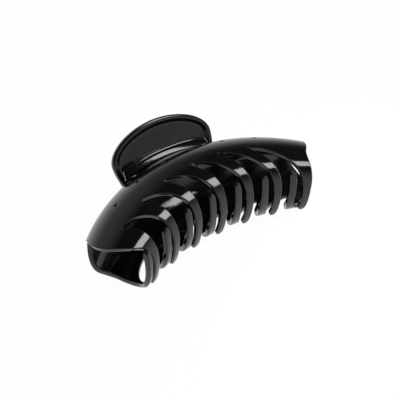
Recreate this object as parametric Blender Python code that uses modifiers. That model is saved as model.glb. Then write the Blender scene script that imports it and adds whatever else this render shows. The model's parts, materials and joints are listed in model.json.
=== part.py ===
"""Large claw clip for hair, lying closed on its side: two identical swirl-toothed jaws, a hinge pin and a torsion spring.

Each jaw is one moulding: an arched half shell cut into seven sweeping teeth, a finger paddle and two hinge knuckles.
It is worked out in the clip frame, whose origin is the middle of the hinge axis. There +X runs along the clip, +Z leaves
the closed clip between the two paddles, and the upper jaw lies on the -Y side. The lower jaw is the same moulding turned
half a turn about Z. An empty on the hinge axis then lays the clip on its side.
"""

import math

import bmesh
import bpy
import numpy as np
from mathutils import Matrix, Vector

# Row of teeth along the arch. Places along it are counted in tooth pitches from the middle of the clip.
TEETH = 7
PITCH = 0.0188
ARCH_RADIUS = 0.277
END_DROP = 0.0155  # what the ridge falls further than its arc at the ends of the row
RIDGE_HEIGHT = 0.0010  # top of the ridge above the hinge axis, at the middle

# Oval section of the closed clip. Angles round it are counted from the ridge.
HALF_WIDTH = 0.0220
HALF_DEPTH = 0.0238
WIDTH_TAPER = 0.20  # share that the width loses at the ends of the row
DEPTH_TAPER = 0.18
FLATTENING = 0.10  # share of the half depth that the bottom is flattened by
WALL = 0.0026
SPLIT_GAP = 0.0003  # between the two jaws along the ridge

# Teeth: where the slots between them start, where the tips end, and their edges in pitches from their own station.
SLOT_TOP = math.radians(90)
TIP_START = math.radians(215)
TIP_END = math.radians(223.5)
TIP_NARROWING = 0.9
SLOT_SHIFT = -0.24  # a slot's upper end, from the station of the tooth on its left
SLOT_END_ROUND = math.radians(1.9)  # how far round the section a slot takes to reach its width
SLOT_END_HALF_WIDTH = 0.036
SLOT_END_FADE = math.radians(14)
TOOTH_LEFT = 0.10
TOOTH_RIGHT = 0.29
LEFT_SPREAD = math.radians(21.5)
RIGHT_SPREAD = math.radians(24)
RIGHT_POWER = 1.6
NEAR_RIDGE_SHIFT = -0.62
NEAR_SHIFT = -0.93
NEAR_SPREAD = math.radians(32.7)
NEAR_POWER = 1.67
FAR_RIDGE_SHIFT = 0.5
FAR_SHIFT = 0.35
FAR_BULGE = 0.20
FAR_SPREAD = math.radians(15)
CELLS = 3  # faces across each tooth
ROW_STEP = math.radians(5)  # between rows of faces where the teeth sweep

# Finger paddle: a half oval plate with a raised rim round a flat sunk panel.
FLARE = math.radians(56)  # between the plate and the plane where the jaws meet
PLATE = 0.0030
PADDLE_HALF_WIDTH = 0.0305
PADDLE_FOOT_HALF_WIDTH = 0.0296
PADDLE_WIDEST = 0.0071  # height up the plate
PADDLE_HEIGHT = 0.0229
PADDLE_COLUMNS = 18
NECK_OFFSET = 0.0065  # outer face of the paddle's neck from the plane where the jaws meet
NECK_HEIGHT = 0.0001  # top of the neck above the hinge axis
NECK_FOOT_HALF_WIDTH = 0.0272
RIM = 0.0021
PANEL_SINK = 0.0008
PANEL_FOOT = 0.0053  # bottom of the panel at the middle, up the plate
PANEL_FOOT_DROP = 0.0027  # how far its corners lie below that
CUT_THROUGH = 0.0020  # how far a cutter reaches past the face that it cuts
OVERLAP = 0.0007  # how far joined shapes run into each other
FLUSH = 0.00001  # keeps two joined faces from lying in one plane

# Hinge: knuckles on a steel pin, with a torsion spring between them.
PIN_RADIUS = 0.0010
BORE_CLEARANCE = 0.0002
KNUCKLE_RADIUS = 0.0030
KNUCKLE = 0.0036
KNUCKLE_GAP = 0.0004
WEB_STEP = 0.00045  # what a knuckle stands proud of its web
HINGE_HALF_LENGTH = 0.0172
NOTCH_CLEARANCE = 0.0006
PIN_OVERHANG = 0.0003
WIRE_RADIUS = 0.0006
COIL_RADIUS = 0.0023
COIL_TURNS = 9
COIL_PITCH = 0.0014
COIL_CLEARANCE = 0.0005
COIL_SEGMENTS = 14
LEG = 0.0120
LEG_GAP = 0.0003

BLACK = (0.010, 0.010, 0.011, 1)
STEEL = (0.62, 0.62, 0.64, 1)


def surface(station, angle):
    """Points on the upper jaw's skin, at these stations along the arch and angles round the section."""
    share = station / (TEETH / 2)
    turn = station * PITCH / ARCH_RADIUS
    width = HALF_WIDTH * (1 - WIDTH_TAPER * share**2)
    depth = HALF_DEPTH * (1 - DEPTH_TAPER * share**2)
    bottom = np.maximum(0, -np.cos(angle)) ** 4
    fall = END_DROP * share**2 + depth * (1 - FLATTENING * bottom) - depth * np.cos(angle)
    radius = ARCH_RADIUS - fall
    return np.stack(
        [
            radius * np.sin(turn),
            -width * np.sin(angle),
            radius * np.cos(turn) - ARCH_RADIUS + RIDGE_HEIGHT,
        ],
        axis=-1,
    )


def sweep(angle, start, end, spread, power=1.0):
    """A tooth's edge below the slot's upper end: it leaves start and closes on end as the angle grows."""
    return end - (end - start) * math.exp(-(((angle - SLOT_TOP) / spread) ** power))


def slot_end(angle):
    """Half a slot's own width below its upper end: a half round, then fading as the teeth sweep apart."""
    into = min(1, (angle - SLOT_TOP) / SLOT_END_ROUND)
    fade = math.exp(-(((angle - SLOT_TOP) / SLOT_END_FADE) ** 2))
    return SLOT_END_HALF_WIDTH * math.sqrt(1 - (1 - into) ** 2) * fade


def left_edge(tooth, angle):
    """The edge of a tooth towards -X, in pitches from its station."""
    up = min(angle / SLOT_TOP, 1)
    if tooth == 0 and angle <= SLOT_TOP:
        return NEAR_RIDGE_SHIFT + (NEAR_SHIFT - NEAR_RIDGE_SHIFT) * math.sin(math.pi / 2 * up)
    if tooth == 0:
        return sweep(angle, NEAR_SHIFT, TOOTH_LEFT, NEAR_SPREAD, NEAR_POWER)
    if angle <= SLOT_TOP:
        return right_edge(0, angle) - 1
    return sweep(angle, SLOT_SHIFT - 1, TOOTH_LEFT, LEFT_SPREAD) + slot_end(angle)


def right_edge(tooth, angle):
    """The edge of a tooth towards +X, in pitches from its station."""
    last = tooth == TEETH - 1
    up = min(angle / SLOT_TOP, 1)
    if last and angle <= SLOT_TOP:
        return FAR_RIDGE_SHIFT + (FAR_SHIFT - FAR_RIDGE_SHIFT) * up + FAR_BULGE * math.sin(math.pi * up)
    if last:
        return sweep(angle, FAR_SHIFT, TOOTH_RIGHT, FAR_SPREAD)
    if angle <= SLOT_TOP:
        return 0.5 + (SLOT_SHIFT - 0.5) * up**2
    return sweep(angle, SLOT_SHIFT, TOOTH_RIGHT, RIGHT_SPREAD, RIGHT_POWER) - slot_end(angle)


def section_angles():
    """Rows round the section: even steps to the slots, close ones where the teeth sweep, and a round tip."""
    first = math.asin(SPLIT_GAP / 2 / HALF_WIDTH)
    shell = np.concatenate([[first], np.linspace(first + math.radians(1), SLOT_TOP, 11)])
    slot = SLOT_TOP + SLOT_END_ROUND * np.array([0.15, 0.5, 1.0])
    swept = SLOT_TOP + ROW_STEP * np.arange(1, 9)
    straight = np.linspace(swept[-1], TIP_START, 9)[1:]
    tip = TIP_START + (TIP_END - TIP_START) * np.array([0.45, 0.8, 1.0])
    return np.concatenate([shell, slot, swept, straight, tip])


def mesh_object(name, mesh_builder):
    """A new object from a bmesh, in the collection of the clip's own parts."""
    mesh = bpy.data.meshes.new(name)
    mesh_builder.to_mesh(mesh)
    mesh_builder.free()
    piece = bpy.data.objects.new(name, mesh)
    clip.objects.link(piece)
    return piece


def add_sheet(builder, points):
    """Faces over a grid of points, wound so that they look away from the clip's inside."""
    rows, columns = points.shape[:2]
    made = [[builder.verts.new(point) for point in row] for row in points]
    for row in range(rows - 1):
        for column in range(columns - 1):
            near, far = made[row], made[row + 1]
            builder.faces.new((near[column], far[column], far[column + 1], near[column + 1]))


def given_thickness(sheet, thickness):
    """Turns an open surface into a wall behind it, in triangles so that the Booleans meet flat faces."""
    wall = sheet.modifiers.new("wall", "SOLIDIFY")
    wall.thickness = thickness
    wall.offset = -1
    sheet.modifiers.new("flat_faces", "TRIANGULATE")
    return sheet


def jaw_shell():
    """The half shell and its teeth: an open surface, one strip for each tooth, given its wall inwards."""
    builder = bmesh.new()
    angles = section_angles()
    for tooth in range(TEETH):
        station = tooth - (TEETH - 1) / 2
        rows = []
        for angle in angles:
            left = left_edge(tooth, angle)
            right = right_edge(tooth, angle)
            past = max(0, (angle - TIP_START) / (TIP_END - TIP_START))
            narrow = math.sqrt(1 - TIP_NARROWING * past**2)
            middle = (left + right) / 2
            half = (right - left) / 2 * narrow
            across = np.linspace(middle - half, middle + half, CELLS + 1)
            rows.append(surface(station + across, np.full(CELLS + 1, angle)))
        add_sheet(builder, np.array(rows))
    bmesh.ops.remove_doubles(builder, verts=builder.verts, dist=1e-6)
    return given_thickness(mesh_object("jaw_moulding", builder), WALL)


def plate_point(across, up, out=0.0):
    """A point of the paddle: across it, up its plate from the neck, and out from its outer face."""
    return Vector(
        (
            across,
            -NECK_OFFSET - up * math.sin(FLARE) - out * math.cos(FLARE),
            NECK_HEIGHT + up * math.cos(FLARE) - out * math.sin(FLARE),
        )
    )


def paddle_half_width(up, inset=0.0):
    """Half the plate's width at a height up it: drawn in to the foot, and a half oval above the widest place."""
    if up <= PADDLE_WIDEST:
        drawn = (1 - up / PADDLE_WIDEST) ** 2
        return PADDLE_HALF_WIDTH - inset - (PADDLE_HALF_WIDTH - PADDLE_FOOT_HALF_WIDTH) * drawn
    rise = (up - PADDLE_WIDEST) / (PADDLE_HEIGHT - inset - PADDLE_WIDEST)
    return (PADDLE_HALF_WIDTH - inset) * math.sqrt(max(0, 1 - rise**2))


def plate_heights(start, top, steps):
    """Heights up the plate from start to top, closer together towards the round top."""
    return [start + (top - start) * math.sin(math.pi / 2 * step / steps) for step in range(steps + 1)]


def neck_foot(across):
    """A point of the neck's foot, in the middle of the shell's wall below the paddle."""
    angle = math.asin(NECK_OFFSET / HALF_WIDTH)
    wall = surface(np.array([across / PITCH]), np.array([angle]))[0]
    return Vector((across, -NECK_OFFSET, wall[2] - WALL / 2))


def paddle():
    """The plate on its neck: a surface from the shell's wall up to the round top, given its thickness inwards."""
    builder = bmesh.new()
    shares = np.linspace(-1, 1, PADDLE_COLUMNS + 1)
    rows = [[neck_foot(NECK_FOOT_HALF_WIDTH * share) for share in shares]]
    for up in plate_heights(0, PADDLE_HEIGHT, 9):
        half = max(paddle_half_width(up), OVERLAP)
        rows.append([plate_point(half * share, up) for share in shares])
    add_sheet(builder, np.array(rows)[::-1])
    return given_thickness(mesh_object("paddle_plate", builder), PLATE)


def panel_cutter():
    """The sunk panel: the plate's outline drawn in by the rim, with a foot that follows the ridge."""
    top = PADDLE_HEIGHT - RIM
    side = [(paddle_half_width(up, RIM), up) for up in plate_heights(PANEL_FOOT - PANEL_FOOT_DROP, top, 10)]
    outline = side + [(-across, up) for across, up in reversed(side[:-1])]
    for share in np.linspace(-1, 1, PADDLE_COLUMNS + 1)[1:-1]:
        outline.append((side[0][0] * share, PANEL_FOOT - PANEL_FOOT_DROP * share**2))
    builder = bmesh.new()
    floor = builder.faces.new([builder.verts.new(plate_point(a, up, -PANEL_SINK)) for a, up in outline])
    lifted = bmesh.ops.extrude_face_region(builder, geom=[floor])["geom"]
    move = plate_point(0, 0, CUT_THROUGH) - plate_point(0, 0, -PANEL_SINK)
    bmesh.ops.translate(builder, verts=[g for g in lifted if isinstance(g, bmesh.types.BMVert)], vec=move)
    bmesh.ops.recalc_face_normals(builder, faces=builder.faces)
    return cutter("panel_cutter", builder)


def cutter(name, builder):
    """A hidden helper object for a Boolean, in its own collection."""
    piece = mesh_object(name, builder)
    clip.objects.unlink(piece)
    cutters.objects.link(piece)
    piece.display_type = "WIRE"
    piece.hide_render = True
    return piece


def rod(name, radius, start, end, sides=32):
    """A closed cylinder round the hinge axis from start to end."""
    builder = bmesh.new()
    along = Matrix.Translation(((start + end) / 2, 0, 0)) @ Matrix.Rotation(math.pi / 2, 4, "Y")
    bmesh.ops.create_cone(
        builder,
        cap_ends=True,
        segments=sides,
        radius1=radius,
        radius2=radius,
        depth=end - start,
        matrix=along,
    )
    return cutter(name, builder)


def block(name, low, high):
    """A box between two corners."""
    builder = bmesh.new()
    size = Vector(high) - Vector(low)
    middle = (Vector(high) + Vector(low)) / 2
    bmesh.ops.create_cube(builder, size=1, matrix=Matrix.Translation(middle) @ Matrix.Diagonal((*size, 1)))
    return cutter(name, builder)


def combine(piece, operation, other):
    """Adds a Boolean to a piece."""
    step = piece.modifiers.new(other.name, "BOOLEAN")
    step.operation = operation
    step.object = other


def knuckle_spans():
    """Where the upper jaw's two knuckles start along X. The lower jaw's lie between them, half a turn round."""
    outer = -HINGE_HALF_LENGTH
    inner = HINGE_HALF_LENGTH - 2 * KNUCKLE - KNUCKLE_GAP
    return (outer, inner)


def jaw_moulding():
    """One jaw: shell and paddle joined, cleared round the hinge, then its knuckles added and bored."""
    jaw = jaw_shell()
    plate = paddle()
    clip.objects.unlink(plate)
    cutters.objects.link(plate)
    plate.display_type = "WIRE"
    plate.hide_render = True
    combine(jaw, "UNION", plate)
    combine(jaw, "DIFFERENCE", panel_cutter())
    reach = HINGE_HALF_LENGTH + NOTCH_CLEARANCE
    clear = max(COIL_RADIUS + WIRE_RADIUS + COIL_CLEARANCE, KNUCKLE_RADIUS + KNUCKLE_GAP)
    notch = block("notch", (-reach, -clear - NOTCH_CLEARANCE, -WALL - clear), (reach, CUT_THROUGH, 0))
    combine(jaw, "DIFFERENCE", notch)
    combine(jaw, "DIFFERENCE", rod("hinge_clearance", clear, -reach, reach))
    for number, start in enumerate(knuckle_spans()):
        end = start + KNUCKLE
        half = KNUCKLE_RADIUS - WEB_STEP
        combine(jaw, "UNION", block(f"web_{number}", (start, OVERLAP - NECK_OFFSET, -half), (end, 0, half)))
        combine(jaw, "UNION", rod(f"knuckle_{number}", KNUCKLE_RADIUS, start - FLUSH, end + FLUSH))
    bored = HINGE_HALF_LENGTH + CUT_THROUGH
    combine(jaw, "DIFFERENCE", rod("bore", PIN_RADIUS + BORE_CLEARANCE, -bored, bored, 24))
    return made_solid(jaw)


def made_solid(piece):
    """The piece's mesh with its modifiers applied and its smooth faces shaded."""
    graph = bpy.context.evaluated_depsgraph_get()
    mesh = bpy.data.meshes.new_from_object(piece.evaluated_get(graph))
    tidy = bmesh.new()
    tidy.from_mesh(mesh)
    bmesh.ops.triangulate(tidy, faces=tidy.faces)
    bmesh.ops.remove_doubles(tidy, verts=tidy.verts, dist=2e-6)
    bmesh.ops.dissolve_degenerate(tidy, dist=2e-6, edges=tidy.edges)
    tidy.to_mesh(mesh)
    tidy.free()
    mesh.shade_smooth()
    mesh.set_sharp_from_angle(angle=math.radians(35))
    bpy.data.objects.remove(piece)
    return mesh


def hinge_pin():
    """The steel pin: a turned rod with rounded ends, through all four knuckles."""
    half = HINGE_HALF_LENGTH + PIN_OVERHANG
    builder = bmesh.new()
    bmesh.ops.create_cone(
        builder,
        cap_ends=True,
        segments=24,
        radius1=PIN_RADIUS,
        radius2=PIN_RADIUS,
        depth=2 * half,
        matrix=Matrix.Rotation(math.pi / 2, 4, "Y"),
    )
    ends = [edge for edge in builder.edges if abs(edge.verts[0].co.x - edge.verts[1].co.x) < half]
    bmesh.ops.bevel(builder, geom=ends, offset=PIN_RADIUS * 0.3, segments=2, affect="EDGES", profile=0.5)
    pin = mesh_object("hinge_pin", builder)
    pin.data.shade_smooth()
    pin.data.set_sharp_from_angle(angle=math.radians(35))
    return pin


def spring_path():
    """The wire's centre line: a leg, the close coil round the hinge axis, and the other leg."""
    inner_face = (NECK_OFFSET * math.cos(FLARE) - NECK_HEIGHT * math.sin(FLARE)) - PLATE
    stand_off = LEG_GAP + WIRE_RADIUS - inner_face
    lean = math.asin((COIL_RADIUS - stand_off) / math.hypot(COIL_RADIUS, LEG))
    leave = FLARE + lean - math.pi / 2
    wound = COIL_TURNS * 2 * math.pi + 2 * leave
    steps = COIL_TURNS * COIL_SEGMENTS
    length = COIL_PITCH * wound / (2 * math.pi)
    points = []
    for step in range(steps + 1):
        share = step / steps
        angle = -leave + wound * share
        points.append((length * (share - 0.5), -COIL_RADIUS * math.sin(angle), COIL_RADIUS * math.cos(angle)))
    away = np.array([0, -math.cos(leave), -math.sin(leave)])
    last = np.array(points[-1]) + LEG * away
    first = last * np.array([-1, -1, 1])
    return [tuple(first), *points, tuple(last)]


def torsion_spring():
    """The steel spring: round wire along its centre line."""
    curve = bpy.data.curves.new("torsion_spring", "CURVE")
    curve.dimensions = "3D"
    curve.bevel_depth = WIRE_RADIUS
    curve.bevel_resolution = 2
    curve.use_fill_caps = True
    path = spring_path()
    spline = curve.splines.new("POLY")
    spline.points.add(len(path) - 1)
    for point, place in zip(spline.points, path):
        point.co = (*place, 1)
    spring = bpy.data.objects.new("torsion_spring", curve)
    clip.objects.link(spring)
    return spring


def finish(name, colour, roughness, metallic):
    """A plain material."""
    material = bpy.data.materials.new(name)
    material.use_nodes = True
    shader = material.node_tree.nodes["Principled BSDF"]
    shader.inputs["Base Color"].default_value = colour
    shader.inputs["Roughness"].default_value = roughness
    shader.inputs["Metallic"].default_value = metallic
    return material


def resting_tilt(points):
    """How far the ridge rises when the clip lies on one belly and that jaw's paddle, from points (across, along)."""
    belly = points[points[:, 1] < -HALF_DEPTH / 2]
    rim = points[points[:, 1] > NECK_HEIGHT]
    low, high = 0.0, math.radians(30)
    for _ in range(40):
        tilt = (low + high) / 2
        depth = [np.max(part[:, 0] * math.cos(tilt) - part[:, 1] * math.sin(tilt)) for part in (belly, rim)]
        low, high = (tilt, high) if depth[1] > depth[0] else (low, tilt)
    return tilt


def lay_down(pieces):
    """Parents the pieces to an empty on the hinge axis and lays the clip on its side, over the origin."""
    axis = bpy.data.objects.new("hinge_axis", None)
    clip.objects.link(axis)
    for piece in pieces:
        piece.parent = axis
    jaw = pieces[0].data
    corners = np.empty(len(jaw.vertices) * 3, np.float32)
    jaw.vertices.foreach_get("co", corners)
    corners = corners.reshape(-1, 3)
    tilt = resting_tilt(np.stack([-corners[:, 1], corners[:, 2]], axis=1))
    axis.rotation_euler = (tilt - math.pi / 2, 0, 0)
    turn = np.array(Matrix.Rotation(tilt - math.pi / 2, 3, "X"))
    both = np.concatenate([corners, corners * (-1, -1, 1)]) @ turn.T
    middle = (both.max(axis=0) + both.min(axis=0)) / 2
    axis.location = (-middle[0], -middle[1], -both[:, 2].min())


for leftover in list(bpy.data.objects):
    bpy.data.objects.remove(leftover)
clip = bpy.data.collections.new("claw_clip")
cutters = bpy.data.collections.new("cutters")
for group in (clip, cutters):
    bpy.context.scene.collection.children.link(group)

moulding = jaw_moulding()
moulding.materials.clear()
moulding.materials.append(finish("gloss_black_plastic", BLACK, 0.12, 0.0))
jaw_upper = bpy.data.objects.new("jaw_upper", moulding)
jaw_lower = bpy.data.objects.new("jaw_lower", moulding)
jaw_lower.rotation_euler = (0, 0, math.pi)
for jaw in (jaw_upper, jaw_lower):
    clip.objects.link(jaw)
pin = hinge_pin()
spring = torsion_spring()
steel = finish("spring_steel", STEEL, 0.3, 1.0)
for part in (pin, spring):
    part.data.materials.append(steel)
lay_down([jaw_upper, jaw_lower, pin, spring])
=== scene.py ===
"""Looks of a large black claw clip for hair, lying closed on its side.

Each jaw's shell, paddle and knuckles are worked out in the clip's own directions: +X along the row of teeth,
+Z out of the ridge between the paddles, and the upper jaw on the -Y side of the hinge axis. They are then laid
where the joint says.
"""

import json
import math

import bmesh
import bpy
import numpy as np
from mathutils import Matrix, Vector


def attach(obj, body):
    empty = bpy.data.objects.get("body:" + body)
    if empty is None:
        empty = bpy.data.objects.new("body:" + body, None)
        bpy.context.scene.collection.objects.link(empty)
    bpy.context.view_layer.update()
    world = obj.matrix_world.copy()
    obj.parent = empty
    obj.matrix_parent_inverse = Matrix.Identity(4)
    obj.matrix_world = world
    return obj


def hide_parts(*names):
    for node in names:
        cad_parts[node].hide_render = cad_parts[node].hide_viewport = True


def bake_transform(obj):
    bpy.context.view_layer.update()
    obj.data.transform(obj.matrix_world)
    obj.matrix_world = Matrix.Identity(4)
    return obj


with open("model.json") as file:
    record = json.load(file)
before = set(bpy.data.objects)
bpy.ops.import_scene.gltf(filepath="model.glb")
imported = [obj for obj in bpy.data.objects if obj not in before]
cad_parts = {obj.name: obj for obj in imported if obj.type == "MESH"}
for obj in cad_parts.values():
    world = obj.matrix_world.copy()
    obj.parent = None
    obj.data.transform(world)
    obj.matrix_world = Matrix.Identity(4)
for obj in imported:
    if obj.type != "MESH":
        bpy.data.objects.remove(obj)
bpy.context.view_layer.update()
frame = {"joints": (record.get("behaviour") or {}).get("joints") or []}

# ----------------------------------------------------------------------------------------------------------
# Hinge axis. Both jaws turn on it, so every piece is placed from it: the clip rolls back until it rests on the
# lower jaw's belly and on the rim of that jaw's paddle.

hinge = frame["joints"][0]
axis_place = np.array(hinge["pos_m"])
ROLL = math.radians(5.398 - 90)
clip_to_rest = np.array(
    [[1, 0, 0], [0, math.cos(ROLL), -math.sin(ROLL)], [0, math.sin(ROLL), math.cos(ROLL)]]
)
other_jaw = np.diag([-1.0, -1.0, 1.0])  # half a turn about the clip's own Z


def laid(points, lower=False):
    """Points of the clip laid in the row frame: half round for the lower jaw, rolled back, put on the axis."""
    turned = points @ other_jaw if lower else points
    return turned @ clip_to_rest.T + axis_place


def grid_faces(number, closed=False):
    """Quads over a grid of vertex numbers, corner by corner. Closed joins the last column to the first."""
    if closed:
        number = np.concatenate([number, number[:, :1]], axis=1)
    corners = (number[:-1, :-1], number[1:, :-1], number[1:, 1:], number[:-1, 1:])
    return np.stack(corners, axis=-1).reshape(-1, 4)


def closed_mesh(name, points, faces):
    """A mesh from points and faces, its doubles merged, then its normals turned outwards and shaded smooth."""
    mesh = bpy.data.meshes.new(name)
    mesh.from_pydata(points.tolist(), [], [face.tolist() for face in faces])
    builder = bmesh.new()
    builder.from_mesh(mesh)
    bmesh.ops.remove_doubles(builder, verts=builder.verts, dist=2e-6)
    bmesh.ops.dissolve_degenerate(builder, dist=1e-7, edges=builder.edges)
    bmesh.ops.recalc_face_normals(builder, faces=builder.faces)
    builder.to_mesh(mesh)
    builder.free()
    mesh.shade_smooth()
    piece = bpy.data.objects.new(name, mesh)
    bpy.context.scene.collection.objects.link(piece)
    return piece


# ----------------------------------------------------------------------------------------------------------
# Jaw shells. Each is a half shell of black injection-moulded plastic, 2.6 mm thick, arched along the head and
# cut into seven teeth that sweep sideways and wrap under, with rolled edges and a dimple above each slot. The
# lower jaw's far end is cut back, and its fingers sweep a little further than the upper jaw's.

TEETH = 7
PITCH = 0.0188
ARCH_RADIUS = 0.277
END_DROP = 0.0155
RIDGE_HEIGHT = 0.0010
HALF_WIDTH = 0.0220
HALF_DEPTH = 0.0238
WIDTH_TAPER = 0.20
DEPTH_TAPER = 0.18
FLATTENING = 0.10
TIP_CURL = 0.6  # how much of the oval the tips keep below the middle
WALL = 0.0026
SPLIT_GAP = 0.0003
SLOT_TOP = math.radians(90)
TIP_START = math.radians(215)
TIP_END = math.radians(226)
SLOT_SHIFT = -0.24
SLOT_END_ROUND = math.radians(1.9)
SLOT_END_HALF_WIDTH = 0.036
SLOT_END_FADE = math.radians(14)
TOOTH_EDGES = (0.10, 0.29)
SLOT_OPENING = 21.5  # degrees within which a tooth's left edge sweeps over
TOOTH_CLOSING = (24, 1.6)  # degrees and power of the sweep of its right edge
FINGER_START = math.radians(130)
FINGER_EASE = math.radians(35)
FINGER_SPREAD = (0.04, 0.02)  # how much further each edge stands out below the sweep
TIP_NARROWING = 0.985
LOWER_LEAN = 0.14  # how much further the lower jaw's first finger sweeps, falling to none at the last
LOWER_LAST_SLOT = 13  # the lower jaw's last slot opens within fewer degrees than the others
NEAR_EDGE = (
    (0, 5, 10, 20, 30, 40, 50, 60, 70, 80, 90, 100, 110, 120, 130, 140, 150, 160, 170),
    (-0.53, -0.58, -0.64, -0.75, -0.84, -0.93, -1.03, -1.07, -1.07, -1.03, -0.945, -0.823, -0.672)
    + (-0.496, -0.27, -0.10, 0.0, 0.06, 0.09),
)
FAR_EDGE = (
    (0, 10, 20, 30, 40, 50, 60, 70, 80, 90, 100, 110, 130, 150, 170),
    (0.62, 0.70, 0.77, 0.82, 0.84, 0.83, 0.77, 0.72, 0.66, 0.57, 0.45, 0.40, 0.385, 0.34, 0.29),
)
LOWER_FAR_EDGE = (
    (0, 10, 20, 30, 40, 50, 60, 70, 80, 90, 100, 110, 120, 130, 150),
    (0.56, 0.60, 0.66, 0.71, 0.72, 0.67, 0.54, 0.415, 0.305, 0.255, 0.205, 0.18, 0.165, 0.18, 0.26),
)
NOTCH = (0.0178, 0.0040)  # half length along the hinge, and reach from the split
NOTCH_BLEND = 0.03
NOTCH_EASE = math.radians(40)  # the rows down to here close up round the notch
EDGE_ROLL = (0.0004, 0.0011)  # radius of the outer edges, at the slots and at the tips
ROLL_START = math.radians(105)
ROLL_GROWTH = math.radians(55)
INNER_ROLL = 0.0007
DIMPLE = (math.radians(62.5), -0.22, 0.0014, 0.0008)  # angle, shift in pitches, radius, depth


def skin_point(station, angle):
    """The shell's skin: an oval section, hung from a circular arch that drops with the square of the station."""
    share = station / (TEETH / 2)
    turn = station * PITCH / ARCH_RADIUS
    width = HALF_WIDTH * (1 - WIDTH_TAPER * share**2)
    depth = HALF_DEPTH * (1 - DEPTH_TAPER * share**2)
    round_it = np.where(angle > math.pi, TIP_CURL * (1 + np.cos(angle)) - 1, np.cos(angle))
    fall = END_DROP * share**2 + depth * (1 - FLATTENING * np.maximum(0, -round_it) ** 4 - round_it)
    radius = ARCH_RADIUS - fall
    height = radius * np.cos(turn) - ARCH_RADIUS + RIDGE_HEIGHT
    return np.stack([radius * np.sin(turn), -width * np.sin(angle), height], axis=-1)


def skin_normal(station, angle):
    """The skin's outward normal: the cross product of its two directions, each from a small step both ways."""
    step = 1e-4
    along = skin_point(station + step, angle) - skin_point(station - step, angle)
    round_it = skin_point(station, angle + step) - skin_point(station, angle - step)
    normal = np.cross(round_it, along)
    return normal / np.linalg.norm(normal, axis=-1, keepdims=True)


def swept(angle, start, end, spread, power=1.0):
    """A tooth's edge below the slot's end: it leaves start and closes on end, as one less an exponential."""
    past = np.maximum(0, (angle - SLOT_TOP) / math.radians(spread))
    return end - (end - start) * np.exp(-(past**power))


def slot_end(angle):
    """Half of a slot's own width: a half round at its upper end, fading as the teeth sweep apart."""
    past = np.maximum(0, angle - SLOT_TOP)
    into = np.minimum(1, past / SLOT_END_ROUND)
    return SLOT_END_HALF_WIDTH * np.sqrt(1 - (1 - into) ** 2) * np.exp(-((past / SLOT_END_FADE) ** 2))


def slot_line(angle):
    """The line between two teeth above their slot: it bends to the slot's end with the square of the angle."""
    return 0.5 + (SLOT_SHIFT - 0.5) * np.minimum(angle / SLOT_TOP, 1) ** 2


def eased(angle, line):
    """A line through points given by degrees and pitches, its corners rounded by averaging over ten degrees."""
    around = np.radians(np.linspace(-5, 5, 11))
    return np.mean([np.interp(angle + shift, np.radians(line[0]), line[1]) for shift in around], axis=0)


def tooth_edges(tooth, angle, lower):
    """Both edges of a tooth, in pitches from its station. The first and last teeth have the shell's open ends."""
    shell = angle <= SLOT_TOP
    last = tooth == TEETH - 1
    opening = LOWER_LAST_SLOT if lower and last else SLOT_OPENING
    right = swept(angle, SLOT_SHIFT, TOOTH_EDGES[1], *TOOTH_CLOSING) - slot_end(angle)
    left = swept(angle, SLOT_SHIFT - 1, TOOTH_EDGES[0], opening) + slot_end(angle)
    right = np.where(shell, slot_line(angle), right)
    left = np.where(shell, slot_line(angle) - 1, left)
    if tooth == 0:
        left = eased(angle, NEAR_EDGE)
    if last:
        right = eased(angle, LOWER_FAR_EDGE if lower else FAR_EDGE)
    low = np.clip((angle - FINGER_START) / FINGER_EASE, 0, 1)
    wider = low * low * (3 - 2 * low)
    lean = LOWER_LEAN * (1 - tooth / (TEETH - 1)) if lower else 0
    return left + (lean - FINGER_SPREAD[0]) * wider, right + (lean + FINGER_SPREAD[1]) * wider


def shell_rows():
    """Angles of the rows round the section: close at the ridge, the dimples, the slots' ends and the tips."""
    degrees = math.degrees
    top, tip, end = degrees(SLOT_TOP), degrees(TIP_START), degrees(TIP_END)
    ridge = np.array([0, 0.25, 0.6, 1.1, 1.8, 2.8, 4.0])
    plain = np.arange(6.0, 57.5, 2.4)
    dimples = np.arange(58.0, 67.5, 0.6)
    upper = np.arange(69.0, top - 2.2, 2.2)
    slot_rows = degrees(SLOT_END_ROUND) * np.array([0.04, 0.15, 0.35, 0.65, 1])
    round_end = top + np.concatenate([np.arange(-2.1, 0, 0.35), [0], slot_rows])
    sweep = np.arange(top + 2.6, 132, 1.25)
    fingers = np.arange(134.0, tip, 2.4)
    last = tip + (end - tip) * np.sin(np.linspace(0.1, 1, 10) * math.pi / 2)
    return np.radians(np.concatenate([ridge, plain, dimples, upper, round_end, sweep, fingers, last]))


def first_angle(station):
    """Where the shell starts at a station: at the split, or beyond the notch that clears the hinge."""
    split = SPLIT_GAP / 2 / HALF_WIDTH
    notch = math.asin(NOTCH[1] / HALF_WIDTH)
    into = np.clip((NOTCH[0] / PITCH + NOTCH_BLEND - np.abs(station)) / (2 * NOTCH_BLEND), 0, 1)
    return split + (notch - split) * into * into * (3 - 2 * into)


def rolled(distance, radius):
    """How deep a rolled edge lies below the skin at a distance from it: a quarter circle."""
    into = np.clip(radius - distance, 0, radius)
    return radius - np.sqrt(radius**2 - into**2)


def distance_to(points, line):
    """Each point's distance to a line of points, at its nearest segment."""
    start = line[:-1]
    step = line[1:] - line[:-1]
    length = np.maximum((step**2).sum(-1), 1e-18)
    flat = points.reshape(-1, 3)
    nearest = np.full(len(flat), np.inf)
    for part in range(0, len(flat), 400):
        away = flat[part : part + 400, None] - start
        share = np.clip((away * step).sum(-1) / length, 0, 1)
        nearest[part : part + 400] = np.linalg.norm(away - share[..., None] * step, axis=-1).min(axis=1)
    return nearest.reshape(points.shape[:-1])


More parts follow.
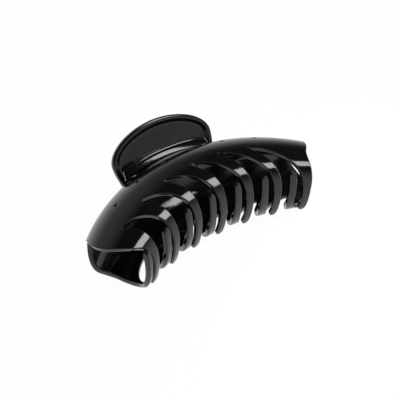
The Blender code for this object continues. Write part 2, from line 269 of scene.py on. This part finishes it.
def tooth_strip(tooth, lower):
    """One tooth with its part of the shell: its outer and inner skins, and which of its side edges are free."""
    rows = shell_rows()
    columns = np.sin(np.linspace(-1, 1, 45) * math.pi / 2)
    middle_station = tooth - (TEETH - 1) / 2
    past = np.clip((rows - TIP_START) / (TIP_END - TIP_START), 0, 1)
    left, right = tooth_edges(tooth, rows, lower)
    half = (right - left) / 2 * np.sqrt(1 - TIP_NARROWING * past**2)
    station = middle_station + ((left + right) / 2)[:, None] + half[:, None] * columns
    begin = first_angle(station)
    row = rows[:, None]
    angle = np.where(row < NOTCH_EASE, begin + row * (NOTCH_EASE - begin) / NOTCH_EASE, row)
    skin = skin_point(station, angle)
    normal = skin_normal(station, angle)
    free_left = (rows >= SLOT_TOP) | (tooth == 0)
    free_right = (rows >= SLOT_TOP) | (tooth == TEETH - 1)
    lines = [skin[free_left, 0], skin[free_right, -1], skin[0], skin[-1]]
    away = np.min([distance_to(skin, line) for line in lines], axis=0)
    late = np.clip((angle - ROLL_START) / ROLL_GROWTH, 0, 1)
    radius = EDGE_ROLL[0] + (EDGE_ROLL[1] - EDGE_ROLL[0]) * late * late * (3 - 2 * late)
    sunk = rolled(away, radius)
    for slot in range(TEETH - 1):
        place = skin_point(np.array(slot - (TEETH - 2) / 2 + DIMPLE[1]), np.array(DIMPLE[0]))
        near = np.clip(np.linalg.norm(skin - place, axis=-1) / DIMPLE[2], 0, 1)
        sunk = sunk + DIMPLE[3] * (0.5 + 0.5 * np.cos(math.pi * near))
    outer = skin - normal * sunk[..., None]
    inner = skin - normal * (WALL - rolled(away, INNER_ROLL))[..., None]
    return outer, inner, free_left, free_right


def shell_surface(lower):
    """The whole shell: every strip's two skins, and the walls between them along the free edges."""
    points, faces, count = [], [], 0
    for tooth in range(TEETH):
        outer, inner, free_left, free_right = tooth_strip(tooth, lower)
        number = np.arange(outer.shape[0] * outer.shape[1]).reshape(outer.shape[:2]) + count
        under = number + number.size
        faces += [grid_faces(number), grid_faces(under)[:, ::-1]]
        sides = (
            (number[free_left, 0], under[free_left, 0]),
            (under[free_right, -1], number[free_right, -1]),
            (under[0], number[0]),
            (number[-1], under[-1]),
        )
        faces += [grid_faces(np.stack(pair)) for pair in sides]
        points += [outer.reshape(-1, 3), inner.reshape(-1, 3)]
        count += 2 * number.size
    return np.concatenate(points), np.concatenate(faces)


upper_points, shell_faces = shell_surface(lower=False)
lower_points, shell_faces = shell_surface(lower=True)
upper_shell = closed_mesh("upper_shell", laid(upper_points), shell_faces)
lower_shell = closed_mesh("lower_shell", laid(lower_points, lower=True), shell_faces)


def moulded_black(name, roughness, ripple):
    """Black glossy plastic: a broad ripple from the mould, fine specks of dust, and even gloss between."""
    material = bpy.data.materials.new(name)
    material.use_nodes = True
    nodes, links = material.node_tree.nodes, material.node_tree.links
    shader = nodes["Principled BSDF"]
    place = nodes.new("ShaderNodeTexCoord")
    flow = nodes.new("ShaderNodeTexNoise")
    flow.inputs["Scale"].default_value = 55
    flow.inputs["Detail"].default_value = 2
    fine = nodes.new("ShaderNodeTexNoise")
    fine.inputs["Scale"].default_value = 900
    fine.inputs["Detail"].default_value = 4
    tone = nodes.new("ShaderNodeValToRGB")
    tone.color_ramp.elements[0].position = 0.30
    tone.color_ramp.elements[0].color = (0.0060, 0.0060, 0.0066, 1)
    tone.color_ramp.elements[1].position = 0.75
    tone.color_ramp.elements[1].color = (0.0095, 0.0095, 0.0104, 1)
    gloss = nodes.new("ShaderNodeMapRange")
    gloss.inputs["From Min"].default_value = 0.35
    gloss.inputs["From Max"].default_value = 0.75
    gloss.inputs["To Min"].default_value = roughness * 0.85
    gloss.inputs["To Max"].default_value = roughness * 1.35
    wave = nodes.new("ShaderNodeBump")
    wave.inputs["Strength"].default_value = ripple
    wave.inputs["Distance"].default_value = 0.0012
    grain = nodes.new("ShaderNodeBump")
    grain.inputs["Strength"].default_value = 0.03
    grain.inputs["Distance"].default_value = 0.0002
    for source in (flow, fine):
        links.new(place.outputs["Object"], source.inputs["Vector"])
    links.new(flow.outputs["Fac"], tone.inputs["Fac"])
    links.new(fine.outputs["Fac"], gloss.inputs["Value"])
    links.new(flow.outputs["Fac"], wave.inputs["Height"])
    links.new(fine.outputs["Fac"], grain.inputs["Height"])
    links.new(wave.outputs["Normal"], grain.inputs["Normal"])
    links.new(tone.outputs["Color"], shader.inputs["Base Color"])
    links.new(gloss.outputs["Result"], shader.inputs["Roughness"])
    links.new(grain.outputs["Normal"], shader.inputs["Normal"])
    shader.inputs["IOR"].default_value = 1.52
    return material


black_plastic = moulded_black("black_plastic", 0.09, 0.10)
for shell, body in ((upper_shell, "upper_jaw"), (lower_shell, "lower_jaw")):
    shell.data.materials.append(black_plastic)
    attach(shell, body)

# ----------------------------------------------------------------------------------------------------------
# Finger paddles. Each is a half oval plate on the back of its jaw's ridge, moulded with the jaw: a raised rim
# runs round a dished panel for the thumb, and the plate bends into a short neck that runs down into the shell.

PLATE = 0.0030
FLARE = math.radians(56)
NECK = (-0.0065, 0.0001)  # across and up from the hinge axis, where the plate's outer face starts
PADDLE_HALF_WIDTH = 0.0305
PADDLE_WIDEST = 0.0071
PADDLE_HEIGHT = 0.0229
RIM = 0.0032
PANEL_SINK = 0.0011
PANEL_EASE = (0.0010, 0.0012, 0.0028)  # how far the hollow runs in, at the sides, the top and the bottom
PANEL_FOOT = (0.0054, 0.0041)
PANEL_CENTRE = (0.0, 0.0105)
HOLLOW_STEPS = ((0.8, 0.98), (0.6, 0.92), (0.4, 0.82), (0.2, 0.68), (0.1, 0.59))  # inwards, and how deep
STEP_UP = ((0.0, 0.50), (0.08, 0.36), (0.16, 0.22), (0.24, 0.11), (0.32, 0.03), (0.42, 0.0))  # outwards
NECK_BEND = 0.0030
NECK_FOOT = -0.0060
NECK_FOOT_HALF = 0.0272
NECK_LINE = (-0.0019, 0.0041)  # the neck's bottom at the middle, and how far its corners lie below
RIM_ROLL = 0.0008


def bent_plate(across, up, out):
    """A place on the paddle: straight up the plate, with the plate's lowest part bending into an upright neck."""
    heights = np.linspace(-0.012, 0.030, 400)
    into = np.clip((heights + NECK_BEND) / NECK_BEND, 0, 1)
    lean = FLARE * into * into * (3 - 2 * into)
    step = heights[1] - heights[0]
    start = np.searchsorted(heights, 0)
    outward = np.cumsum(np.sin(lean)) * step
    upward = np.cumsum(np.cos(lean)) * step
    outward, upward = outward - outward[start], upward - upward[start]
    angle = np.interp(up, heights, lean)
    y = NECK[0] - np.interp(up, heights, outward) - out * np.cos(angle)
    z = NECK[1] + np.interp(up, heights, upward) - out * np.sin(angle)
    return np.stack([across, y, z], axis=-1)


def half_oval(inset, foot, foot_half, count=150):
    """Half of an outline from its foot up to its top: drawn in below the widest place, then a quarter oval."""
    side = np.linspace(0, 1, count // 3, endpoint=False)
    low = foot + (PADDLE_WIDEST - foot) * side
    drawn = (1 - side) ** 2
    wide = PADDLE_HALF_WIDTH - inset
    low_across = wide - (wide - foot_half) * drawn
    turn = np.linspace(0, math.pi / 2, count - count // 3)
    power = 1.06
    high_across = wide * np.cos(turn) ** power
    high = PADDLE_WIDEST + (PADDLE_HEIGHT - inset - PADDLE_WIDEST) * np.sin(turn) ** power
    return np.concatenate([low_across, high_across]), np.concatenate([low, high])


def ring_line(inset, foot, foot_half, bottom):
    """A closed outline: up one side of the half oval, down the other, and back along its bottom."""
    across, up = half_oval(inset, foot, foot_half)
    share = np.linspace(-1, 1, 81)[1:-1]
    line_across = np.concatenate([across, -across[-2::-1], foot_half * share])
    line_up = np.concatenate([up, up[-2::-1], bottom(share)])
    return line_across, line_up


def between(start, end, share, out):
    """An outline part of the way from one to another, at a height out of the plate."""
    return [start[i] + (end[i] - start[i]) * share for i in (0, 1)] + [out]


def paddle_surface():
    """The paddle as one closed loft of outlines: dished panel, step, rim, rolled edge, side, and plain back."""

    def neck_line(share):
        return NECK_LINE[0] - NECK_LINE[1] * share**2

    def panel_line(share):
        return PANEL_FOOT[0] - PANEL_FOOT[1] * share**2

    outline = ring_line(0, NECK_FOOT, NECK_FOOT_HALF, neck_line)
    panel_foot = PANEL_FOOT[0] - PANEL_FOOT[1]
    inner_across, inner_up = half_oval(RIM, NECK_FOOT, NECK_FOOT_HALF - RIM)
    below = len(inner_up) // 3  # the points up to the widest place
    panel_half = float(np.interp(panel_foot, inner_up[:below], inner_across[:below]))
    panel = ring_line(RIM, panel_foot, panel_half, panel_line)
    over = np.maximum(0, panel[1] - PADDLE_WIDEST) / (PADDLE_HEIGHT - RIM - PADDLE_WIDEST)
    under = np.maximum(0, PADDLE_WIDEST - panel[1]) / (PADDLE_WIDEST - panel_foot)
    floor_up = panel[1] - PANEL_EASE[1] * over + PANEL_EASE[2] * np.minimum(1, 1.6 * under)
    floor = (panel[0] * (1 - PANEL_EASE[0] / PADDLE_HALF_WIDTH), floor_up)
    rings = [between(PANEL_CENTRE, floor, share, -PANEL_SINK) for share in (0.0001, 0.3, 0.6, 0.85, 1.0)]
    rings += [between(panel, floor, inwards, -PANEL_SINK * deep) for inwards, deep in HOLLOW_STEPS]
    rings += [between(panel, outline, outwards, -PANEL_SINK * deep) for outwards, deep in STEP_UP]
    rim_gap = RIM_ROLL / RIM
    turns = np.linspace(0, math.pi / 2, 6)
    for turn in turns:
        outwards = 1 - rim_gap * (1 - math.sin(turn))
        rings.append(between(panel, outline, outwards, -(RIM_ROLL * (1 - math.cos(turn)))))
    for turn in turns:
        outwards = 1 - rim_gap * (1 - math.cos(turn))
        rings.append(between(panel, outline, outwards, -(PLATE - RIM_ROLL * (1 - math.sin(turn)))))
    rings += [between(PANEL_CENTRE, panel, share, -PLATE) for share in (1.0, 0.7, 0.35, 0.0001)]
    across = np.array([ring[0] for ring in rings])
    up = np.array([ring[1] for ring in rings])
    out = np.array([np.full(across.shape[1], ring[2]) for ring in rings])
    number = np.arange(across.size).reshape(across.shape)
    caps = [number[0][::-1], number[-1]]
    return bent_plate(across, up, out).reshape(-1, 3), list(grid_faces(number, closed=True)) + caps


paddle_points, paddle_faces = paddle_surface()
for name, body, lower in (("upper_paddle", "upper_jaw", False), ("lower_paddle", "lower_jaw", True)):
    paddle = closed_mesh(name, laid(paddle_points, lower), paddle_faces)
    paddle.data.materials.append(black_plastic)
    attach(paddle, body)

# ----------------------------------------------------------------------------------------------------------
# Hinge knuckles. Each jaw has two, moulded with it on a web that stands out from the neck. They lie side by side on
# the pin, 0.4 mm apart.

KNUCKLE_RADIUS = 0.0030
KNUCKLE = 0.0036
KNUCKLE_STARTS = (-0.0172, 0.0096)
BORE_RADIUS = 0.0012
BORE_EASE = 0.0002
KNUCKLE_ROLL = 0.0004
WEB_HALF = 0.00255
WEB_REACH = 0.0058


def knuckle_surface(start):
    """A knuckle and its web: an outline by its radius at each angle round the pin, lofted along it and bored."""
    angle = np.linspace(0, 2 * math.pi, 97)[:-1]
    to_neck = np.maximum(1e-6, -np.cos(angle))
    to_side = np.maximum(1e-6, np.abs(np.sin(angle)))
    web = np.where(np.cos(angle) < 0, np.minimum(WEB_REACH / to_neck, WEB_HALF / to_side), 0)
    outline = np.maximum(KNUCKLE_RADIUS, web)
    stop = start + KNUCKLE
    bore = np.full(len(angle), BORE_RADIUS)
    turns = np.linspace(0, math.pi / 2, 5)
    inset = [(KNUCKLE_ROLL * (1 - math.sin(t)), outline - KNUCKLE_ROLL * (1 - math.cos(t))) for t in turns]
    rings = [(start, bore + BORE_EASE)] + [(start + along, radius) for along, radius in inset[::-1]]
    rings += [(stop - along, radius) for along, radius in inset] + [(stop, bore + BORE_EASE)]
    rings += [(stop - BORE_EASE, bore), (start + BORE_EASE, bore)]
    round_pin = [(np.full(len(angle), x), r * np.cos(angle), r * np.sin(angle)) for x, r in rings]
    points = np.array([np.stack(ring, -1) for ring in round_pin])
    number = np.arange(len(rings) * len(angle)).reshape(len(rings), -1)
    return points.reshape(-1, 3), grid_faces(np.concatenate([number, number[:1]]), closed=True)


for side, (body, lower) in (("upper", ("upper_jaw", False)), ("lower", ("lower_jaw", True))):
    made = [knuckle_surface(start) for start in KNUCKLE_STARTS]
    points = np.concatenate([made[0][0], made[1][0]])
    faces = np.concatenate([made[0][1], made[1][1] + len(made[0][0])])
    knuckles = closed_mesh(f"{side}_knuckles", laid(points, lower), faces)
    knuckles.data.materials.append(black_plastic)
    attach(knuckles, body)

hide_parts("jaw_upper")
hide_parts("jaw_lower")

# ----------------------------------------------------------------------------------------------------------
# Hinge pin. A drawn steel rod 2 mm thick with domed ends, pushed through all four knuckles.

PIN_RADIUS = 0.0010
PIN_HALF = 0.0175
PIN_DOME = 0.0004
PIN_SIDES = 40


def pin_surface():
    """A profile of places along the pin and radii, turned once round the hinge axis."""
    turn = np.linspace(0, math.pi / 2, 7)
    radius = PIN_RADIUS * (0.02 + 0.98 * np.sin(turn) ** 0.7)
    end = np.stack([PIN_HALF - PIN_DOME * (1 - np.cos(turn)), radius], -1)
    profile = np.concatenate([end, (end * (-1, 1))[::-1]])
    angle = np.linspace(0, 2 * math.pi, PIN_SIDES, endpoint=False)
    x = np.repeat(profile[:, :1], PIN_SIDES, axis=1)
    points = np.stack([x, profile[:, 1:] * np.cos(angle), profile[:, 1:] * np.sin(angle)], -1)
    number = np.arange(points.shape[0] * PIN_SIDES).reshape(-1, PIN_SIDES)
    return points.reshape(-1, 3), list(grid_faces(number, closed=True)) + [number[0], number[-1][::-1]]


def drawn_steel(name, roughness):
    """Bright drawn steel: fine lines along the drawing direction, and a little unevenness in tone and gloss."""
    material = bpy.data.materials.new(name)
    material.use_nodes = True
    nodes, links = material.node_tree.nodes, material.node_tree.links
    shader = nodes["Principled BSDF"]
    place = nodes.new("ShaderNodeTexCoord")
    stretch = nodes.new("ShaderNodeMapping")
    stretch.inputs["Scale"].default_value = (300, 4000, 4000)
    lines = nodes.new("ShaderNodeTexNoise")
    lines.inputs["Scale"].default_value = 1
    lines.inputs["Detail"].default_value = 3
    tone = nodes.new("ShaderNodeValToRGB")
    tone.color_ramp.elements[0].color = (0.50, 0.50, 0.52, 1)
    tone.color_ramp.elements[1].color = (0.70, 0.70, 0.71, 1)
    gloss = nodes.new("ShaderNodeMapRange")
    gloss.inputs["To Min"].default_value = roughness * 0.8
    gloss.inputs["To Max"].default_value = roughness * 1.3
    score = nodes.new("ShaderNodeBump")
    score.inputs["Strength"].default_value = 0.15
    score.inputs["Distance"].default_value = 0.0001
    links.new(place.outputs["Object"], stretch.inputs["Vector"])
    links.new(stretch.outputs["Vector"], lines.inputs["Vector"])
    links.new(lines.outputs["Fac"], tone.inputs["Fac"])
    links.new(lines.outputs["Fac"], gloss.inputs["Value"])
    links.new(lines.outputs["Fac"], score.inputs["Height"])
    links.new(tone.outputs["Color"], shader.inputs["Base Color"])
    links.new(gloss.outputs["Result"], shader.inputs["Roughness"])
    links.new(score.outputs["Normal"], shader.inputs["Normal"])
    shader.inputs["Metallic"].default_value = 1.0
    return material


pin_points, pin_faces = pin_surface()
pin = closed_mesh("steel_pin", laid(pin_points), pin_faces)
pin.data.materials.append(drawn_steel("pin_steel", 0.25))
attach(pin, "lower_jaw")
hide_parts("hinge_pin")

# ----------------------------------------------------------------------------------------------------------
# Torsion spring. Spring steel wire 1.2 mm thick, wound nine times round the pin between the knuckles, with a
# straight leg lying along the inside of each paddle. It presses the paddles apart, and twists as the real clip
# opens; here it is built once, as it lies with the clip closed.

WIRE_RADIUS = 0.0006
COIL_RADIUS = 0.0023
COIL_TURNS = 9
COIL_PITCH = 0.0014
LEG = 0.0120
LEG_GAP = 0.0003
WIRE_END = (0.25, 0.7)  # how far the cut end stands out, and its radius, in wire radii


def wire_line():
    """The wire's centre line: a leg, the coil, whose angle grows evenly with its place, and the other leg."""
    inner_face = (-NECK[0] * math.cos(FLARE) - NECK[1] * math.sin(FLARE)) - PLATE
    stand_off = LEG_GAP + WIRE_RADIUS - inner_face
    leave = FLARE + math.asin((COIL_RADIUS - stand_off) / math.hypot(COIL_RADIUS, LEG)) - math.pi / 2
    wound = COIL_TURNS * 2 * math.pi + 2 * leave
    share = np.linspace(0, 1, COIL_TURNS * 44 + 1)
    angle = wound * share - leave
    x = COIL_PITCH * wound / (2 * math.pi) * (share - 0.5)
    coil = np.stack([x, -COIL_RADIUS * np.sin(angle), COIL_RADIUS * np.cos(angle)], -1)
    away = LEG * np.array([0, -math.cos(leave), -math.sin(leave)])
    along = np.linspace(0, 1, 13)[1:, None]
    last = coil[-1] + along * away
    first = (last * (-1, -1, 1))[::-1]
    return np.concatenate([first, coil, last])


def wire_surface(line, radius, sides=14):
    """A round section carried along a line, on directions square to it, with small rounded ends."""
    ahead = np.gradient(line, axis=0)
    ahead /= np.linalg.norm(ahead, axis=1, keepdims=True)
    aside = np.cross(ahead, (1.0, 0.0, 0.0))
    aside /= np.linalg.norm(aside, axis=1, keepdims=True)
    square = np.cross(ahead, aside)
    angle = np.linspace(0, 2 * math.pi, sides, endpoint=False)[:, None]
    ring = np.cos(angle) * aside[:, None] + np.sin(angle) * square[:, None]
    points = line[:, None] + radius * ring
    start = line[0] - WIRE_END[0] * radius * ahead[0] + WIRE_END[1] * radius * ring[0]
    end = line[-1] + WIRE_END[0] * radius * ahead[-1] + WIRE_END[1] * radius * ring[-1]
    points = np.concatenate([start[None], points, end[None]])
    number = np.arange(len(points) * sides).reshape(-1, sides)
    return points.reshape(-1, 3), list(grid_faces(number, closed=True)) + [number[0], number[-1][::-1]]


wire_points, wire_faces = wire_surface(wire_line(), WIRE_RADIUS)
spring = closed_mesh("wound_spring", laid(wire_points), wire_faces)
spring.data.materials.append(drawn_steel("spring_wire", 0.28))
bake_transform(spring)
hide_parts("torsion_spring")

# ----------------------------------------------------------------------------------------------------------
# Table. A plain white surface that the clip lies on. It looks white to the camera and in the gloss of the fingers,
# and it keeps the clip's soft shadow.

TABLE_WHITE = 0.90
TABLE_GLOW = 0.86


def white_table(name):
    """White card under the lamps, seen by the camera and by reflections with most of its white given as light."""
    material = bpy.data.materials.new(name)
    material.use_nodes = True
    nodes, links = material.node_tree.nodes, material.node_tree.links
    card = nodes["Principled BSDF"]
    place = nodes.new("ShaderNodeTexCoord")
    mottle = nodes.new("ShaderNodeTexNoise")
    mottle.inputs["Scale"].default_value = 3
    tone = nodes.new("ShaderNodeValToRGB")
    tone.color_ramp.elements[0].color = (TABLE_WHITE - 0.02,) * 3 + (1,)
    tone.color_ramp.elements[1].color = (TABLE_WHITE,) * 3 + (1,)
    glow = nodes.new("ShaderNodeEmission")
    path = nodes.new("ShaderNodeLightPath")
    seen = nodes.new("ShaderNodeMath")
    seen.operation = "MAXIMUM"
    share = nodes.new("ShaderNodeMath")
    share.operation = "MULTIPLY"
    share.inputs[1].default_value = TABLE_GLOW
    mix = nodes.new("ShaderNodeMixShader")
    links.new(place.outputs["Object"], mottle.inputs["Vector"])
    links.new(mottle.outputs["Fac"], tone.inputs["Fac"])
    links.new(tone.outputs["Color"], card.inputs["Base Color"])
    links.new(path.outputs["Is Camera Ray"], seen.inputs[0])
    links.new(path.outputs["Is Glossy Ray"], seen.inputs[1])
    links.new(seen.outputs["Value"], share.inputs[0])
    links.new(share.outputs["Value"], mix.inputs["Fac"])
    links.new(card.outputs["BSDF"], mix.inputs[1])
    links.new(glow.outputs["Emission"], mix.inputs[2])
    links.new(mix.outputs["Shader"], nodes["Material Output"].inputs["Surface"])
    card.inputs["Roughness"].default_value = 0.9
    card.inputs["Specular IOR Level"].default_value = 0.1
    glow.inputs["Strength"].default_value = 1.12
    return material


table_mesh = bpy.data.meshes.new("table")
table_mesh.from_pydata([(-6, -6, 0), (6, -6, 0), (6, 6, 0), (-6, 6, 0)], [], [(0, 1, 2, 3)])
table = bpy.data.objects.new("table", table_mesh)
bpy.context.scene.collection.objects.link(table)
table.data.materials.append(white_table("table_white"))
table.location.z = -0.0002

# ----------------------------------------------------------------------------------------------------------
# Studio. A small window of light to the right in front draws the bright patch on each tooth. The room round it is
# white to the camera, pale near the table and towards the back, and dark overhead.

WINDOW_PLACE = (0.108, -0.130, 0.176)
WINDOW_SIZE = (0.048, 0.085)
WINDOW_POWER = 0.115
ROOM_HEIGHTS = ((0.0, 0.95), (0.20, 0.72), (0.31, 0.52), (0.40, 0.30), (0.50, 0.12), (0.65, 0.04), (1.0, 0.03))
BACK_WAY = (-0.05, 0.72, 0.69)
BACK_GLOW = ((0.0, 0.0), (0.80, 0.0), (0.92, 0.20), (1.0, 0.42))


def lamp(name, place, aim, size, power):
    """A rectangular area light at a place, turned to face its aim."""
    data = bpy.data.lights.new(name, "AREA")
    data.shape = "RECTANGLE"
    data.size, data.size_y = size
    data.energy = power
    light = bpy.data.objects.new(name, data)
    light.location = place
    light.rotation_euler = (Vector(aim) - Vector(place)).to_track_quat("-Z", "Y").to_euler()
    light.visible_camera = False
    bpy.context.scene.collection.objects.link(light)


lamp("window_light", WINDOW_PLACE, (0, -0.005, 0.025), WINDOW_SIZE, WINDOW_POWER)

room = bpy.data.worlds.new("room")
bpy.context.scene.world = room
room.use_nodes = True
room_nodes, room_links = room.node_tree.nodes, room.node_tree.links
walls = room_nodes["Background"]
way = room_nodes.new("ShaderNodeTexCoord")
height = room_nodes.new("ShaderNodeSeparateXYZ")
backward = room_nodes.new("ShaderNodeVectorMath")
backward.operation = "DOT_PRODUCT"
backward.inputs[1].default_value = BACK_WAY
both = room_nodes.new("ShaderNodeVectorMath")


def toned(source, stops):
    """A ramp of greys on a number: each stop is a place and a tone."""
    ramp = room_nodes.new("ShaderNodeValToRGB")
    for number, (place, tone) in enumerate(stops):
        stop = ramp.color_ramp.elements[number] if number < 2 else ramp.color_ramp.elements.new(place)
        stop.position, stop.color = place, (tone, tone, tone, 1)
    room_links.new(source, ramp.inputs["Fac"])
    return ramp.outputs["Color"]


seen = room_nodes.new("ShaderNodeBackground")
seen.inputs["Color"].default_value = (1, 1, 1, 1)
path = room_nodes.new("ShaderNodeLightPath")
mix = room_nodes.new("ShaderNodeMixShader")
room_links.new(way.outputs["Generated"], height.inputs["Vector"])
room_links.new(way.outputs["Generated"], backward.inputs[0])
room_links.new(toned(height.outputs["Z"], ROOM_HEIGHTS), both.inputs[0])
room_links.new(toned(backward.outputs["Value"], BACK_GLOW), both.inputs[1])
room_links.new(both.outputs["Vector"], walls.inputs["Color"])
room_links.new(path.outputs["Is Camera Ray"], mix.inputs["Fac"])
room_links.new(walls.outputs["Background"], mix.inputs[1])
room_links.new(seen.outputs["Background"], mix.inputs[2])
room_links.new(mix.outputs["Shader"], room_nodes["World Output"].inputs["Surface"])

# ----------------------------------------------------------------------------------------------------------
# Camera. A long lens close above the clip's near end, looking along it from the front left.

CAMERA_PLACE = (-0.1654, -0.2251, 0.2334)
CAMERA_RIGHT = Vector((0.7940, -0.6076, -0.0012)).normalized()
CAMERA_BACK = Vector((-0.4790, -0.6276, 0.6147)).normalized()
camera_data = bpy.data.cameras.new("camera")
camera_data.sensor_width = 36
camera_data.lens = 61.5
camera_data.clip_start = 0.01
camera = bpy.data.objects.new("camera", camera_data)
camera_up = CAMERA_BACK.cross(CAMERA_RIGHT).normalized()
camera_right = camera_up.cross(CAMERA_BACK)
turned = np.eye(4)
turned[:3, 0], turned[:3, 1], turned[:3, 2], turned[:3, 3] = camera_right, camera_up, CAMERA_BACK, CAMERA_PLACE
camera.matrix_world = Matrix(turned.tolist())
bpy.context.scene.collection.objects.link(camera)
bpy.context.scene.camera = camera
bpy.context.scene.view_settings.view_transform = "Standard"
